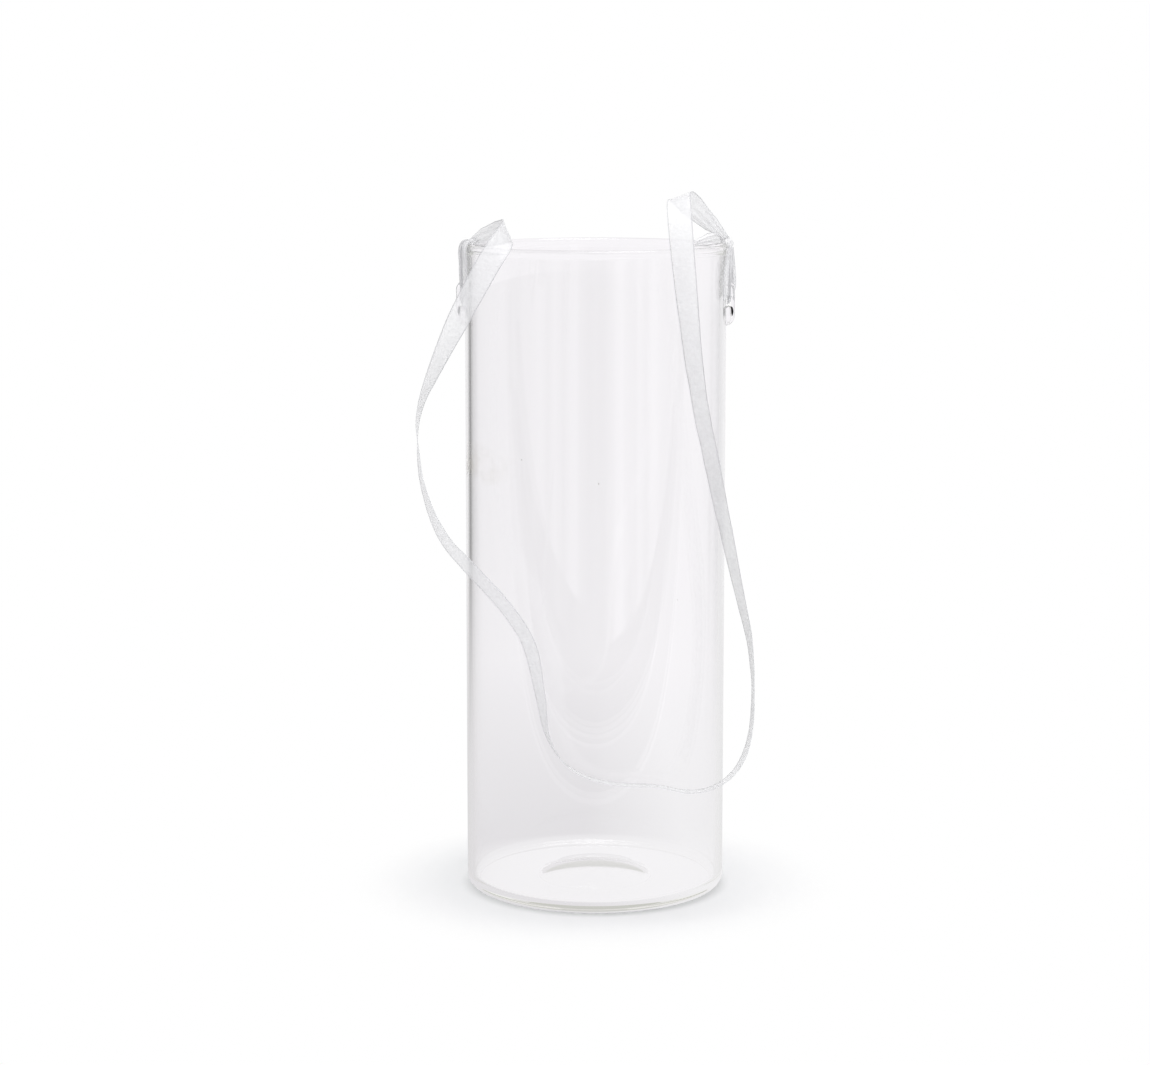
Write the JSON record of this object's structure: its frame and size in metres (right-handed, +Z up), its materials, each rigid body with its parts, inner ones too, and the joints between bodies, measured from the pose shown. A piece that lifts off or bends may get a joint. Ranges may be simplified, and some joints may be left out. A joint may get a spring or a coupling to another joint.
{
  "type": "hanging cylinder vase",
  "caption": "Clear glass cylinder vase with fused ears under the lip and a long, knotted sheer ribbon to hang it by.",
  "frame": {"origin": "centre of the base, on the surface the vase stands on", "axes": "+Z is up along the cylinder, the ears lie on the X axis, and -Y is the front, where the ribbon hangs"},
  "size_m": [0.1282, 0.1112, 0.2709],
  "materials": {
    "clear_glass": "polished, fire-polished lip",
    "ribbon": "sheer organza weave with a satin selvedge"
  },
  "bodies": {
    "root": {"glass_body": "clear_glass", "right_ear": "clear_glass", "left_ear": "clear_glass", "left_knot": "ribbon", "right_knot": "ribbon", "left_ear_loop": "ribbon", "right_ear_loop": "ribbon", "left_tail": "ribbon", "right_tail": "ribbon", "right_lip_tail": "ribbon", "hanging_ribbon": "ribbon"}
  },
  "joints": []
}
